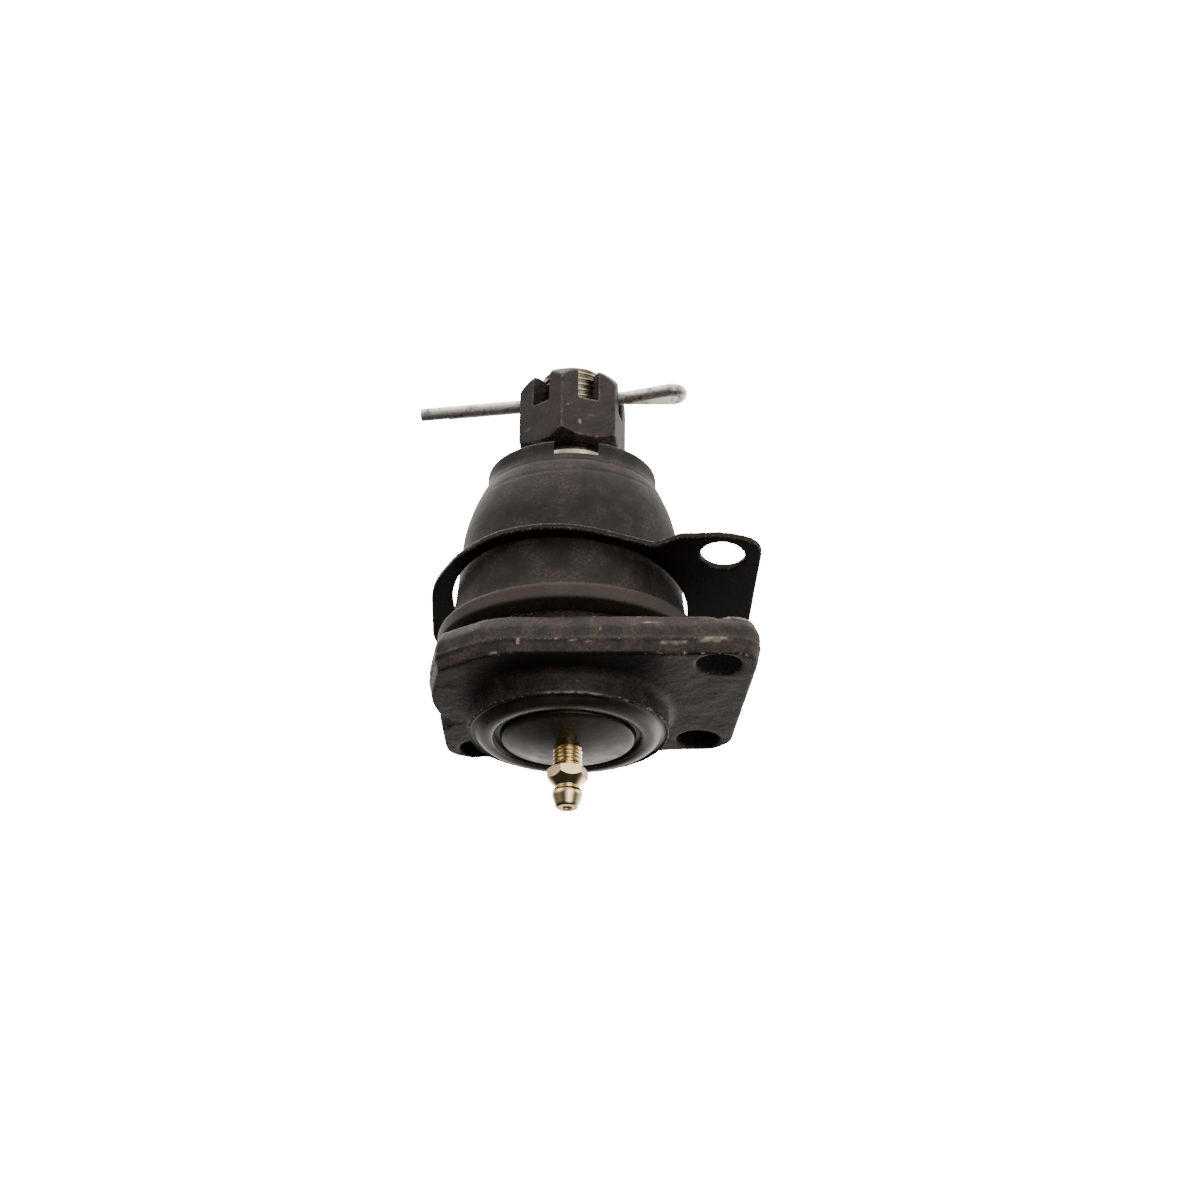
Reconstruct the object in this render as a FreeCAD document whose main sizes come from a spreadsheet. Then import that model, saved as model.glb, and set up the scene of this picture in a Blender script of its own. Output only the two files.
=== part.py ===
import FreeCAD, Part
import math
import os
import Sketcher

# Upper suspension ball joint with a three-bolt flange. Millimetres.
# Z is the stud axis at rest: the grease fitting is at the top, the stud hangs down.
# The origin lies on that axis in the flange's upper face, which meets the control arm.

doc = FreeCAD.newDocument("BallJoint")

# Driving sizes.
SIZES = {
    "lip_top": 7.0, "lip_bore_r": 15.45, "ridge_r": 22.0, "ridge_z": 5.7, "bore_r": 17.7,
    "flange_bottom": -9.5, "parting_z": -3.5, "bevel_z": -6.6, "bolt_hole_d": 9.6,
    "shoulder_r": 24.2, "shoulder_z": -13.4, "neck_r": 21.3, "housing_bottom": -26.5,
    "ball_z": -14.0, "seat_z": -22.0, "shank_r": 7.0,
    "taper_top_r": 9.2, "taper_top_z": -37.0, "taper_end_r": 7.64,
    "taper_end_z": -62.0, "thread_r": 6.75,
    "boot_ring_r": 29.2, "boot_top": -13.5, "boot_ring_bottom": -17.5,
    "collar_r": 19.0, "boot_rim": -57.4, "hub_end": -60.7, "hub_r": 9.6,
    "plate_t": 1.5, "plate_hole_r": 26.2,
    "nut_af": 22.2, "nut_gap": 2.3, "nut_h": 18.0, "nut_bore_r": 6.8,
    "nut_top": "hub_end - nut_gap", "nut_end": "nut_top - nut_h",
    "slot_w": 4.8, "slot_share": 0.4556,
    "pin_d": 3.1, "pin_hole_d": 3.2, "pin_up": 3.45, "pin_z": "nut_end + pin_up",
    "stud_over": 3.0, "stud_end": "nut_end - stud_over",
    "cover_r": 17.6, "cover_rim_z": 5.8, "cover_t": 2.0, "dome_z": 9.4,
    "fit_thread_r": 3.175, "fit_hex_af": 7.94, "fit_head_r": 3.3, "fit_tip": 23.0,
}
sheet = doc.addObject("Spreadsheet::Sheet", "Sizes")
for row, (name, value) in enumerate(SIZES.items(), start=1):
    sheet.set("A%d" % row, name)
    sheet.set("B%d" % row, "=" + value if isinstance(value, str) else str(value))
    sheet.setAlias("B%d" % row, name)
doc.recompute()


def value_of(entry):
    """Number behind a coordinate, which is a number or a formula in sheet names."""
    if not isinstance(entry, str):
        return float(entry)
    words = [str(value_of(SIZES[w])) if w in SIZES else w for w in entry.split()]
    return FreeCAD.Units.Quantity(" ".join(words)).Value


def new_body(label, pos=(0, 0, 0), turn=None):
    body = doc.addObject("PartDesign::Body", label)
    body.Label = label
    body.Placement = FreeCAD.Placement(FreeCAD.Vector(*pos), turn or FreeCAD.Rotation())
    return body


def origin_part(body, role):
    return next(f for f in body.Origin.OriginFeatures if f.Role == role)


def new_sketch(body, name, plane="XY_Plane", offset=0.0):
    sketch = body.newObject("Sketcher::SketchObject", name)
    sketch.AttachmentSupport = [(origin_part(body, plane), "")]
    sketch.MapMode = "FlatFace"
    if isinstance(offset, str):
        sketch.setExpression("AttachmentOffset.Base.z", formula(offset))
    elif offset:
        sketch.AttachmentOffset = FreeCAD.Placement(
            FreeCAD.Vector(0, 0, offset), FreeCAD.Rotation())
    return sketch


def formula(entry):
    return " ".join("Sizes." + w if w in SIZES else w for w in entry.split())


def fix_distance(sketch, kind, geo, pos, entry):
    """Holds a point's X or Y at a number or at a formula in sheet names."""
    number = value_of(entry)
    if abs(number) < 1e-9:
        axis = -2 if kind == "DistanceX" else -1
        sketch.addConstraint(Sketcher.Constraint("PointOnObject", geo, pos, axis))
        return
    index = sketch.addConstraint(Sketcher.Constraint(kind, -1, 1, geo, pos, number))
    if isinstance(entry, str):
        sketch.setExpression("Constraints[%d]" % index, formula(entry))


def profile(body, name, points, plane="XZ_Plane", offset=0.0):
    """Closed profile through points; a point with four entries is reached by an arc."""
    sketch = new_sketch(body, name, plane, offset)
    corners = [FreeCAD.Vector(value_of(p[0]), value_of(p[1]), 0) for p in points]
    count = len(points)
    starts, ends = [], []
    for i in range(count):
        a, b, end = corners[i], corners[(i + 1) % count], points[(i + 1) % count]
        starts.append(1)
        ends.append(2)
        if len(end) == 4:
            middle = FreeCAD.Vector(value_of(end[2]), value_of(end[3]), 0)
            if (middle - a).cross(b - middle).z < 0:
                a, b, starts[i], ends[i] = b, a, 2, 1
            sketch.addGeometry(Part.Arc(a, middle, b), False)
        else:
            sketch.addGeometry(Part.LineSegment(a, b), False)
    for i in range(count):
        j = (i + 1) % count
        sketch.addConstraint(Sketcher.Constraint("Coincident", i, ends[i], j, starts[j]))
        fix_distance(sketch, "DistanceX", i, starts[i], points[i][0])
        fix_distance(sketch, "DistanceY", i, starts[i], points[i][1])
        if len(points[j]) == 4:
            arc = sketch.Geometry[i]
            if abs(arc.Radius - (corners[i] - corners[j]).Length / 2) < 0.01:
                fix_distance(sketch, "DistanceX", i, 3, arc.Center.x)
            else:
                sketch.addConstraint(Sketcher.Constraint("Radius", i, arc.Radius))
    return sketch


def revolve(body, name, points, cut=False, axis="V_Axis", angle=360.0, plane="XZ_Plane"):
    sketch = profile(body, name + "Sketch", points, plane)
    feature = body.newObject("PartDesign::Groove" if cut else "PartDesign::Revolution", name)
    feature.Profile = sketch
    feature.ReferenceAxis = (sketch, [axis])
    feature.Angle = angle
    sketch.Visibility = False
    return feature


def rounded(corners):
    """Lines and arcs of a polygon whose corners are (x, y, rounding radius)."""
    count, cuts = len(corners), []
    for i in range(count):
        p, c, n = (FreeCAD.Vector(*corners[k % count][:2], 0) for k in (i - 1, i, i + 1))
        to_p, to_n = (p - c).normalize(), (n - c).normalize()
        half = to_p.getAngle(to_n) / 2
        back = corners[i][2] / math.tan(half)
        centre = c + (to_p + to_n).normalize() * (corners[i][2] / math.sin(half))
        middle = centre + (c - centre).normalize() * corners[i][2]
        cuts.append((c + to_p * back, middle, c + to_n * back))
    shapes = []
    for i in range(count):
        shapes.append(Part.Arc(*cuts[i]))
        shapes.append(Part.LineSegment(cuts[i][2], cuts[(i + 1) % count][0]))
    return shapes


def pad(body, name, sketch, length, taper=0.0, down=False, mid=False):
    feature = body.newObject("PartDesign::Pad", name)
    feature.Profile = sketch
    if isinstance(length, str):
        feature.setExpression("Length", formula(length))
    else:
        feature.Length = length
    feature.TaperAngle = taper
    feature.Reversed = down
    feature.Midplane = mid
    sketch.Visibility = False
    return feature


def pocket(body, name, sketch, length=None, up=False, mid=False):
    feature = body.newObject("PartDesign::Pocket", name)
    feature.Profile = sketch
    if length is None:
        feature.Type = "ThroughAll"
    else:
        feature.Length = length
    feature.Reversed = up
    feature.Midplane = mid
    sketch.Visibility = False
    return feature


def circle_sketch(body, name, circles, offset=0.0, plane="XY_Plane"):
    """Circles as (x, y, diameter), each an entry for the sheet or a number."""
    sketch = new_sketch(body, name, plane, offset)
    for i, (x, y, size) in enumerate(circles):
        at = FreeCAD.Vector(value_of(x), value_of(y), 0)
        sketch.addGeometry(Part.Circle(at, FreeCAD.Vector(0, 0, 1), value_of(size) / 2), False)
        fix_distance(sketch, "DistanceX", i, 3, x)
        fix_distance(sketch, "DistanceY", i, 3, y)
        index = sketch.addConstraint(Sketcher.Constraint("Diameter", i, value_of(size)))
        if isinstance(size, str):
            sketch.setExpression("Constraints[%d]" % index, formula(size))
    return sketch


def hexagon_sketch(body, name, across_flats, offset, turn):
    sketch = new_sketch(body, name, "XY_Plane", offset)
    radius = value_of(across_flats) / math.sqrt(3)
    corners = [FreeCAD.Vector(radius * math.cos(math.radians(turn + 60 * k)),
                              radius * math.sin(math.radians(turn + 60 * k)), 0)
               for k in range(6)]
    for k in range(6):
        sketch.addGeometry(Part.LineSegment(corners[k], corners[(k + 1) % 6]), False)
    return sketch


# Housing: a drop forging with a drafted flange, a boss that is rolled over the cover plate,
# a round shoulder for the boot and a neck with a flared mouth round the stud.
OUTLINE = [(21.3, -25.7, 6), (15.9, -28.1, 8), (-39.0, -34.1, 6), (-38.1, 17.8, 7),
           (25.6, 30.9, 6.5), (27.7, 12.4, 2.5), (24.9, 9.5, 1.5), (28.0, 7.0, 2.5),
           (31.0, -1.1, 24), (29.9, -17.7, 3)]
BOLT_HOLES = [(-30.0, -27.0, "bolt_hole_d"), (-30.0, 13.0, "bolt_hole_d"),
              (18.0, 23.5, "bolt_hole_d")]
housing = new_body("housing")
outline = new_sketch(housing, "FlangeOutline", offset="parting_z")
outline.addGeometry(rounded(OUTLINE), False)
pad(housing, "FlangeTop", outline, "0 - parting_z", taper=-9.0)
middle = new_sketch(housing, "FlangeMiddleOutline", offset="parting_z")
middle.addGeometry(rounded(OUTLINE), False)
pad(housing, "FlangeMiddle", middle, "parting_z - bevel_z", down=True)
low = new_sketch(housing, "FlangeBevelOutline", offset="bevel_z")
low.addGeometry(rounded(OUTLINE), False)
pad(housing, "FlangeBevel", low, "bevel_z - flange_bottom", taper=-26.0, down=True)
revolve(housing, "Boss", [
    (0, -2.0), ("ridge_r + 2.2", -2.0), ("ridge_r + 2.2", 0),
    ("ridge_r", 2.2, "ridge_r + 0.644", 0.644), ("ridge_r", "ridge_z - 0.3"),
    ("ridge_r - 0.3", "ridge_z", "ridge_r - 0.088", "ridge_z - 0.088"),
    (17.3, 6.85), (16.4, "lip_top", 16.85, 6.96), (0, "lip_top")])
revolve(housing, "Neck", [
    (0, -5.0), (0, "housing_bottom"), (19.6, "housing_bottom"),
    ("neck_r", -20.0), ("neck_r", "shoulder_z - 0.6"),
    ("neck_r + 0.6", "shoulder_z", "neck_r + 0.176", "shoulder_z - 0.176"),
    ("shoulder_r - 1", "shoulder_z"),
    ("shoulder_r", "shoulder_z + 1", "shoulder_r - 0.293", "shoulder_z + 0.293"),
    ("shoulder_r", "flange_bottom - 0.4"),
    ("shoulder_r + 0.5", "flange_bottom + 0.1"), ("shoulder_r + 0.5", -5.0)])
revolve(housing, "Cavity", [
    (0, "lip_top + 1"), ("lip_bore_r + 0.6", "lip_top + 1"), ("lip_bore_r + 0.6", "lip_top"),
    ("lip_bore_r", "lip_top - 0.6", "lip_bore_r + 0.176", "lip_top - 0.176"),
    ("lip_bore_r", "cover_rim_z + 0.02"), ("bore_r", "cover_rim_z + 0.02"),
    ("bore_r", "seat_z"), (13.15, "seat_z"), (14.7, "housing_bottom"),
    (14.7, "housing_bottom - 1"), (0, "housing_bottom - 1")], cut=True)
pocket(housing, "BoltHoles", circle_sketch(housing, "BoltHoleSketch", BOLT_HOLES, 1.0), 12.0)
for number, (x, y, size) in enumerate(BOLT_HOLES, start=1):
    mouth = revolve(housing, "HoleMouth%d" % number, [
        (3.0, 0.5), (3.0, -0.5), ("bolt_hole_d / 2 - 0.1", -0.5), ("bolt_hole_d / 2 + 0.5", 0.1),
        ("bolt_hole_d / 2 + 0.5", 0.5)], cut=True)
    mouth.Profile[0].AttachmentOffset = FreeCAD.Placement(
        FreeCAD.Vector(x, 0, -y), FreeCAD.Rotation())
for feature in housing.Group:
    if hasattr(feature, "Refine"):
        feature.Refine = False

# Lower bearing ring: carries the ball's stud side on the housing's inner ledge.
seat = new_body("bearing_seat_ring")
revolve(seat, "Ring", [
    ("bore_r - 0.05", "seat_z + 0.02"), ("bore_r - 0.05", "ball_z + 0.2"),
    (15.1, "ball_z + 0.2"), (12.748, "seat_z + 0.02", 14.54, -17.9)])

# Pressure seat: cup over the ball's crown, with a hole for grease.
cup = new_body("pressure_seat")
revolve(cup, "Cup", [
    (15.042, "ball_z + 0.5", 10.642, -3.358), (17.5, "ball_z + 0.5"), (17.5, 1.8), (15.7, 1.8),
    (15.7, 1.3), (4.0, 1.3), (4.0, 0.509)])

# Preload disc spring: a coned washer between the pressure seat and the cover plate.
disc = new_body("preload_disc_spring")
revolve(disc, "Cone", [(15.3, 1.32), (15.3, 2.5), (6.6, 4.6), (6.6, 3.42)])

# Seal ring under the cover plate's rim.
seal = new_body("cover_seal_ring")
revolve(seal, "Ring", [(16.65, 3.78, 15.67, 2.8), (16.65, 1.82, 17.63, 2.8)])

# Cover plate: a shallow dome held by the housing's rolled lip, tapped for the fitting.
cover = new_body("cover_plate")
revolve(cover, "Dome", [
    ("cover_r", "cover_rim_z - cover_t"), ("cover_r", "cover_rim_z"), (14.9, "cover_rim_z"),
    (14.2, 6.15, 14.5, 5.9), ("fit_thread_r + 0.02", "dome_z", 8.9, 8.35),
    ("fit_thread_r + 0.02", "dome_z - cover_t"), (13.4, 4.1, 8.6, 6.35),
    (14.2, "cover_rim_z - cover_t")])

# Grease fitting: threaded shank, hexagon and grooved head with a ball check inside.
fitting = new_body("grease_fitting_body")
hexagon = hexagon_sketch(fitting, "HexSketch", "fit_hex_af", 14.1, -7.0)
pad(fitting, "Hex", hexagon, 2.6)
revolve(fitting, "HexChamfer", [(3.15, 17.5), (4.7, 15.75), (5.2, 15.75), (5.2, 17.5)], cut=True)
revolve(fitting, "HexChamferLow", [
    (3.9, 13.5), (3.95, 14.1), (4.7, 14.55), (5.2, 14.55), (5.2, 13.5)], cut=True)
revolve(fitting, "Shank", [
    (0, 5.2), (2.6, 5.2), (3.1, 5.7), (3.1, 13.4), (2.75, 13.7), (2.75, 14.3), (0, 14.3)])
revolve(fitting, "Head", [
    (0, 16.5), (3.9, 16.5), (3.86, 16.7), (2.5, 18.2), (2.5, 18.35), (3.1, 18.95),
    ("fit_head_r", 19.5, 3.25, 19.2), ("fit_head_r", 20.3), (2.5, "fit_tip - 0.3"),
    (2.2, "fit_tip", 2.42, 22.9), (0, "fit_tip")])
revolve(fitting, "Bore", [
    (0, 5.0), (1.2, 5.0), (1.2, 8.5), (1.65, 8.5), (1.65, 21.2), (1.02, 22.15),
    (1.02, 22.5), (1.3, 23.2), (0, 23.2)], cut=True)

# Check ball, just under its seat in the fitting's mouth.
check_ball = new_body("grease_fitting_ball", pos=(0, 0, 21.33))
revolve(check_ball, "Ball", [(0, -1.25), (0, 1.25, 1.25, 0)])

# Check spring: a fine coil from the shank's step up to the ball.
coil = new_body("grease_fitting_spring")
coil_wire = profile(coil, "WireSketch", [(1.02, 8.66), (1.28, 8.66), (1.28, 8.92), (1.02, 8.92)])
turns = coil.newObject("PartDesign::AdditiveHelix", "Turns")
turns.Profile = coil_wire
turns.ReferenceAxis = (coil_wire, ["V_Axis"])
turns.Mode = 0
turns.Pitch = 2.2
turns.Height = 11.0
coil_wire.Visibility = False

# Ball stud: ball, shank, taper, plain bar under the thread and the cross hole for the pin.
stud = new_body("ball_stud")
revolve(stud, "Stud", [
    (0, -0.2), (5.5, -0.2), (6.2, "-0.342", 5.95, -0.22), (7.0, -27.266, 15.0, -14.0),
    ("shank_r", -29.5), ("taper_top_r", "taper_top_z", 7.55, -33.7),
    ("taper_end_r", "taper_end_z"), ("thread_r", "taper_end_z - 0.9"),
    ("thread_r", "stud_end + 1.6"), (5.3, "stud_end + 0.25", 6.3, "stud_end + 0.72"),
    (0, "stud_end", 2.7, "stud_end + 0.07")])
PIN_TURN = 15.5
cross = new_sketch(stud, "CrossHoleSketch", "XZ_Plane")
cross.AttachmentOffset = FreeCAD.Placement(
    FreeCAD.Vector(0, 0, 0), FreeCAD.Rotation(FreeCAD.Vector(0, 1, 0), 90 + PIN_TURN))
cross.addGeometry(Part.Circle(FreeCAD.Vector(0, value_of("pin_z"), 0),
                              FreeCAD.Vector(0, 0, 1), 1.6), False)
fix_distance(cross, "DistanceY", 0, 3, "pin_z")
cross.addConstraint(Sketcher.Constraint("PointOnObject", 0, 3, -2))
cross_size = cross.addConstraint(Sketcher.Constraint("Diameter", 0, 3.2))
cross.setExpression("Constraints[%d]" % cross_size, "Sizes.pin_hole_d")
pocket(stud, "CrossHole", cross, 30.0, mid=True)

# Boot: moulded rubber bell. Its base ring sits on the housing's shoulder, its upper end
# has a collar with one notch round a trough and a hub on the stud.
boot = new_body("boot")
revolve(boot, "Bell", [
    (21.75, "boot_top"), ("boot_ring_r - 0.5", "boot_top"),
    ("boot_ring_r", "boot_top - 0.5", "boot_ring_r - 0.146", "boot_top - 0.146"),
    ("boot_ring_r", "boot_ring_bottom + 0.8"),
    ("boot_ring_r - 0.8", "boot_ring_bottom", "boot_ring_r - 0.234", "boot_ring_bottom + 0.234"),
    (26.4, -19.2, "boot_ring_r / 2 + 12.35", -18.15), (25.5, -24.0), (25.1, -28.0),
    (24.6, -34.0), (24.0, -41.0), (23.2, -44.0, 23.75, -42.6), (20.6, -50.8, 22.1, -47.4),
    (19.2, -53.4), ("collar_r", -54.2), ("collar_r", "boot_rim + 0.6"),
    ("collar_r - 0.6", "boot_rim", "collar_r - 0.176", "boot_rim + 0.176"),
    (16.9, "boot_rim"), (16.3, "boot_rim + 0.6", 16.48, "boot_rim + 0.18"),
    (16.3, -54.6), (11.1, -54.1), (10.4, -51.0), (16.6, -50.6), (18.2, -49.6),
    (20.8, -43.4), (21.6, -40.8, 21.3, -42.1), (22.2, -34.0), (22.7, -28.0),
    (23.0, -23.6), (22.4, -19.4), (21.75, -17.0)])
notch = profile(boot, "NotchSketch", [
    (-4.7, "boot_rim - 2"), (5.3, "boot_rim - 2"), (5.3, "boot_rim + 3.5"),
    (-4.7, "boot_rim + 3.5")], "XZ_Plane")
pocket(boot, "Notch", notch, 25.0, up=True)

# Boot hub ring: grips the stud's taper inside the boot's upper end.
hub = new_body("boot_neck_ring")
revolve(hub, "Hub", [
    (8.38, -50.9), (10.35, -50.9), (11.0, -54.2), (11.0, -56.2), ("hub_r", -57.4, 10.6, -57.2),
    ("hub_r", "hub_end + 0.5"), ("hub_r - 0.5", "hub_end"), (7.77, "hub_end")])

# Boot retainer plate: stamped sheet with the flange's outline, lying loose and tilted
# round the boot until it is bolted up.
PLATE_OUTLINE = [(27.2, -13.1, 24), (19.5, -24.2, 24), (4.6, -30.7, 26), (-15.0, -27.0, 0.8),
                 (-19.9, -31.4, 3), (-29.2, -34.0, 12), (-38.0, -33.1, 5), (-40.6, 16.1, 7),
                 (23.8, 32.2, 6.5), (29.7, 17.6, 10), (31.6, -1.3, 22)]
tilt = (FreeCAD.Rotation(FreeCAD.Vector(0, 0, 1), 4.5)
        * FreeCAD.Rotation(FreeCAD.Vector(1, 0, 0), 9.6)
        * FreeCAD.Rotation(FreeCAD.Vector(0, 1, 0), 3.6)
        * FreeCAD.Rotation(FreeCAD.Vector(0, 0, 1), -6.7))
plate = new_body("boot_retainer_plate", pos=(-0.42, 1.11, -26.0), turn=tilt)
plate_outline = new_sketch(plate, "PlateOutline")
reach = SIZES["plate_hole_r"] / 26.2
plate_outline.addGeometry(
    rounded([(x * reach, y * reach, r) for x, y, r in PLATE_OUTLINE]), False)
pad(plate, "Sheet", plate_outline, "plate_t", mid=True)
boot_opening = (0.4, -0.4, "plate_hole_r * 2")
pocket(plate, "Openings", circle_sketch(plate, "PlateHoles", [boot_opening] + BOLT_HOLES, 5.0))

# Castle nut, run down on the stud with its slots outward.
nut = new_body("castle_nut")
NUT_TURN = -74.5
nut_hex = hexagon_sketch(nut, "HexSketch", "nut_af", "nut_top", NUT_TURN)
pad(nut, "Hex", nut_hex, "nut_top - nut_end", down=True)
revolve(nut, "FaceChamfer", [
    (11.0, "nut_top + 0.5"), (11.0, "nut_top"), (12.85, "nut_top - 1.7"),
    (14.0, "nut_top - 1.7"), (14.0, "nut_top + 0.5")], cut=True)
revolve(nut, "EndChamfer", [
    (9.6, "nut_end - 1"), (9.6, "nut_end"), (11.2, "nut_end + 0.9", 10.5, "nut_end + 0.25"),
    (12.9, "nut_end + 3.4"), (14.0, "nut_end + 3.4"), (14.0, "nut_end - 1")], cut=True)
revolve(nut, "Bore", [
    (0, "nut_top + 1"), ("nut_bore_r + 0.8", "nut_top + 1"), ("nut_bore_r + 0.8", "nut_top - 0.2"),
    ("nut_bore_r", "nut_top - 1.1"), ("nut_bore_r", "nut_end + 0.8"),
    ("nut_bore_r + 0.7", "nut_end"), ("nut_bore_r + 0.7", "nut_end - 1"), (0, "nut_end - 1")],
    cut=True)
# Each slot is cut from the end to a share of the nut's height.
SLOT_BOTTOM = "nut_end + ( nut_top - nut_end ) * slot_share"
slot = profile(nut, "SlotSketch", [
    ("0 - slot_w / 2", "nut_end - 1"), ("slot_w / 2", "nut_end - 1"),
    ("slot_w / 2", SLOT_BOTTOM), ("0 - slot_w / 2", SLOT_BOTTOM)], "YZ_Plane")
slot.AttachmentOffset = FreeCAD.Placement(
    FreeCAD.Vector(0, 0, 0), FreeCAD.Rotation(FreeCAD.Vector(0, 1, 0), PIN_TURN))
slot_cut = pocket(nut, "Slot", slot, 40.0, mid=True)
around = nut.newObject("PartDesign::PolarPattern", "SixSlots")
around.Originals = [slot_cut]
around.Axis = (nut_hex, ["N_Axis"])
around.Angle = 360.0
around.Occurrences = 6
nut.Tip = around

# Cotter pin: half-round wire folded at the eye, one leg longer than the other. Its own
# X axis runs along the legs, with the fold between them in its XY plane.
pin_place = (FreeCAD.Rotation(FreeCAD.Vector(0, 0, 1), PIN_TURN)
             * FreeCAD.Rotation(FreeCAD.Vector(1, 0, 0), 176.0))
pin = new_body("cotter_pin", pos=(0, 0, value_of("pin_z")), turn=pin_place)
half = SIZES["pin_d"] / 2
LONG_LEG, SHORT_LEG, BEND_X, BEND_R, EYE_X, EYE_R, GAP = 35.7, 29.3, -13.0, 14.0, -22.9, 2.1, 0.04
lean = math.asin((EYE_R - GAP) / (BEND_X - EYE_X))
back = BEND_R * math.tan(lean / 2)
bend_in = FreeCAD.Vector(BEND_X + back, GAP, 0)
bend_mid = bend_in + FreeCAD.Vector(-BEND_R * math.sin(lean / 2),
                                    BEND_R * (1 - math.cos(lean / 2)), 0)
bend_out = bend_in + FreeCAD.Vector(-BEND_R * math.sin(lean), BEND_R * (1 - math.cos(lean)), 0)
touch = FreeCAD.Vector(EYE_X + EYE_R * math.sin(lean), EYE_R * math.cos(lean), 0)


def across(point):
    return FreeCAD.Vector(point.x, -point.y, 0)


path = new_sketch(pin, "WirePath")
path.addGeometry([
    Part.LineSegment(FreeCAD.Vector(LONG_LEG, GAP, 0), bend_in),
    Part.Arc(bend_in, bend_mid, bend_out),
    Part.LineSegment(bend_out, touch),
    Part.Arc(touch, FreeCAD.Vector(EYE_X - EYE_R, 0, 0), across(touch)),
    Part.LineSegment(across(touch), across(bend_out)),
    Part.Arc(across(bend_out), across(bend_mid), across(bend_in)),
    Part.LineSegment(across(bend_in), FreeCAD.Vector(SHORT_LEG, -GAP, 0))], False)
wire_section = new_sketch(pin, "WireSection", "YZ_Plane", LONG_LEG)
wire_section.addGeometry([
    Part.LineSegment(FreeCAD.Vector(GAP, -half, 0), FreeCAD.Vector(GAP, half, 0)),
    Part.Arc(FreeCAD.Vector(GAP, half, 0), FreeCAD.Vector(half, 0, 0),
             FreeCAD.Vector(GAP, -half, 0))], False)
wire = pin.newObject("PartDesign::AdditivePipe", "Wire")
wire.Profile = wire_section
wire.Spine = (path, ["Edge%d" % k for k in range(1, 8)])
path.Visibility = wire_section.Visibility = False
doc.recompute()

for obj in doc.Objects:
    if {"Invalid", "Error"} & set(obj.State):
        raise RuntimeError("%s is not valid: %s" % (obj.Name, obj.State))

os.makedirs("parts", exist_ok=True)
for obj in doc.Objects:
    if obj.TypeId == "PartDesign::Body":
        if obj.Shape.isNull() or not obj.Shape.isValid() or len(obj.Shape.Solids) != 1:
            raise RuntimeError("%s has %d solids" % (obj.Label, len(obj.Shape.Solids)))
        obj.Shape.exportStep("parts/%s.step" % obj.Label)
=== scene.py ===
import math

import bmesh
import bpy
import numpy as np
from mathutils import Matrix, Vector


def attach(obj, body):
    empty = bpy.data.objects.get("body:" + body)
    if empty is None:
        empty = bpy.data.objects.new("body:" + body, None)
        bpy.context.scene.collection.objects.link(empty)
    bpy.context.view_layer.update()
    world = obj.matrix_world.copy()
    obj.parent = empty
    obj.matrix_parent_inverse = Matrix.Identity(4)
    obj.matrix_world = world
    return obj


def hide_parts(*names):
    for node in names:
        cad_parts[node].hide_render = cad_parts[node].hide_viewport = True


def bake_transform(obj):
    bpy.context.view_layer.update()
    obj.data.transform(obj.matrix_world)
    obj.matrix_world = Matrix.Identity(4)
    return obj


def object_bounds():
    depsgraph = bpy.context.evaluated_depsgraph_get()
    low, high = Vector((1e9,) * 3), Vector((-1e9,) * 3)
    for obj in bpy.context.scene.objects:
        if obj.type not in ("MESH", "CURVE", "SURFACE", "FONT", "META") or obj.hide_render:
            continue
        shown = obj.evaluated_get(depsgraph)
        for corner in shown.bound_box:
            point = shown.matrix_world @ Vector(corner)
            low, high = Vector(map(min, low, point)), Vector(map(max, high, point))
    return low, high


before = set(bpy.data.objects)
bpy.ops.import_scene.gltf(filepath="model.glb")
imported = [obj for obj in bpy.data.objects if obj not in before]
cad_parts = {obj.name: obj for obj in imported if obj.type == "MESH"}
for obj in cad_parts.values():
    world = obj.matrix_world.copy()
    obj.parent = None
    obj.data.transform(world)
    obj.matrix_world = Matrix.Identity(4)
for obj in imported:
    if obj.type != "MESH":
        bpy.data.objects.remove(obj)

# Upper suspension ball joint. Metres; +Z runs up the stud axis to the grease fitting.
MM = 0.001
cad_low, cad_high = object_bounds()

# Housing. A drop forging in carbon steel with a drafted three-bolt flange. Its flash is
# trimmed off along the parting line, then it is phosphated black and oiled, and the lip of
# the boss is rolled over the cover plate. Shop dust and bare specks show on it.
FORGED_DARK, FORGED_GREY, SHOP_DUST = "0c0a08", "29221e", "574c44"
# The first of these is black for painted shade: the strip before the boss, the bolt holes and the
# gap round the cover's dome.
SHADE_BLACK, BARE_STEEL, ROLLED_DARK, ROLLED_GREY = "040303", "b5aca1", "1a1715", "37302b"
PARTING_Z, TRIM_LOW_Z, HOLE_R = -3.5 * MM, -6.6 * MM, 4.8 * MM
HOLES = ((-30.0, -27.0), (-30.0, 13.0), (18.0, 23.5))
RIDGE_R, LIP_SINK = 22.0 * MM, 1.0 * MM


def linear(code):
    """Linear colour of an sRGB hex value."""
    parts = [int(code[i:i + 2], 16) / 255 for i in (0, 2, 4)]
    return (*(c / 12.92 if c <= 0.04045 else ((c + 0.055) / 1.055) ** 2.4 for c in parts), 1)


def add(tree, kind, inputs, **settings):
    """Adds a shader node; each input is a plain value or another node's output."""
    node = tree.nodes.new("ShaderNode" + kind)
    for name, value in settings.items():
        setattr(node, name, value)
    for name, value in inputs.items():
        if isinstance(value, bpy.types.NodeSocket):
            tree.links.new(value, node.inputs[name])
        else:
            node.inputs[name].default_value = value
    return node


def noise(tree, place, size, detail, rough=0.5):
    """Noise from 0 to 1 in clouds of about that size."""
    return add(tree, "TexNoise", {"Vector": place, "Scale": 1 / size, "Detail": detail,
                                  "Roughness": rough}).outputs["Fac"]


def ramp(tree, value, start=0.0, end=1.0, low=0.0, high=1.0):
    """The value carried from start and end to low and high, and held level beyond."""
    return add(tree, "MapRange", {"Value": value, "From Min": start, "From Max": end,
                                  "To Min": low, "To Max": high}).outputs[0]


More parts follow.
